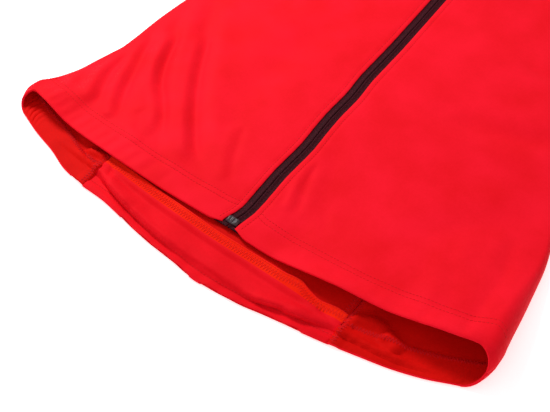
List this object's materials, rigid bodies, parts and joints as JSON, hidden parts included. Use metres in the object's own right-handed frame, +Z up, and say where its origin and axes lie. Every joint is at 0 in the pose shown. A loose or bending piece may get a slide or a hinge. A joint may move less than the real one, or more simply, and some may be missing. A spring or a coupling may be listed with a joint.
{
  "type": "cycling jersey",
  "caption": "Short-sleeved red cycling jersey laid flat, front up, with a full-length dark zip, a stand collar and a longer elastic back hem.",
  "frame": {"origin": "middle of the laid-out jersey's outline, on the surface that it lies on", "axes": "+Z up from the surface, +Y along the zip from the hem to the collar, +X to the viewer's right, which is the wearer's left"},
  "size_m": [0.786, 0.683, 0.0282],
  "materials": {
    "back": "smooth red warp knit with a soft satin sheen",
    "collar": "smooth red warp knit with a soft satin sheen",
    "front_left": "smooth red warp knit with a soft satin sheen",
    "front_right": "smooth red warp knit with a soft satin sheen",
    "pocket": "smooth red warp knit with a soft satin sheen",
    "side_left": "smooth red warp knit with a soft satin sheen",
    "side_right": "smooth red warp knit with a soft satin sheen",
    "sleeve_left": "smooth red warp knit with a soft satin sheen",
    "sleeve_right": "smooth red warp knit with a soft satin sheen",
    "tail": "smooth red warp knit with a soft satin sheen",
    "zip_coil": "very dark wine-coloured moulded coil",
    "zip_pull": "dark satin enamel",
    "zip_slider": "dark satin enamel",
    "zip_stop": "dark grey moulded plastic",
    "zip_tape_left": "very dark wine-coloured woven tape",
    "zip_tape_right": "very dark wine-coloured woven tape"
  },
  "bodies": {
    "garment": {"back": "back", "collar": "collar", "front_left": "front_left", "front_right": "front_right", "pocket": "pocket", "side_left": "side_left", "side_right": "side_right", "sleeve_left": "sleeve_left", "sleeve_right": "sleeve_right", "tail": "tail", "zip_coil": "zip_coil", "zip_slider": "zip_slider", "zip_stop": "zip_stop", "zip_tape_left": "zip_tape_left", "zip_tape_right": "zip_tape_right"},
    "pull_tab": {"zip_pull": "zip_pull"}
  },
  "joints": [
    {"name": "pull_swing", "type": "hinge", "parent": "garment", "child": "pull_tab", "pos_m": [0, 0.2525, 0.0087], "axis": [-1, 0, 0], "range_deg": [0, 150]}
  ]
}
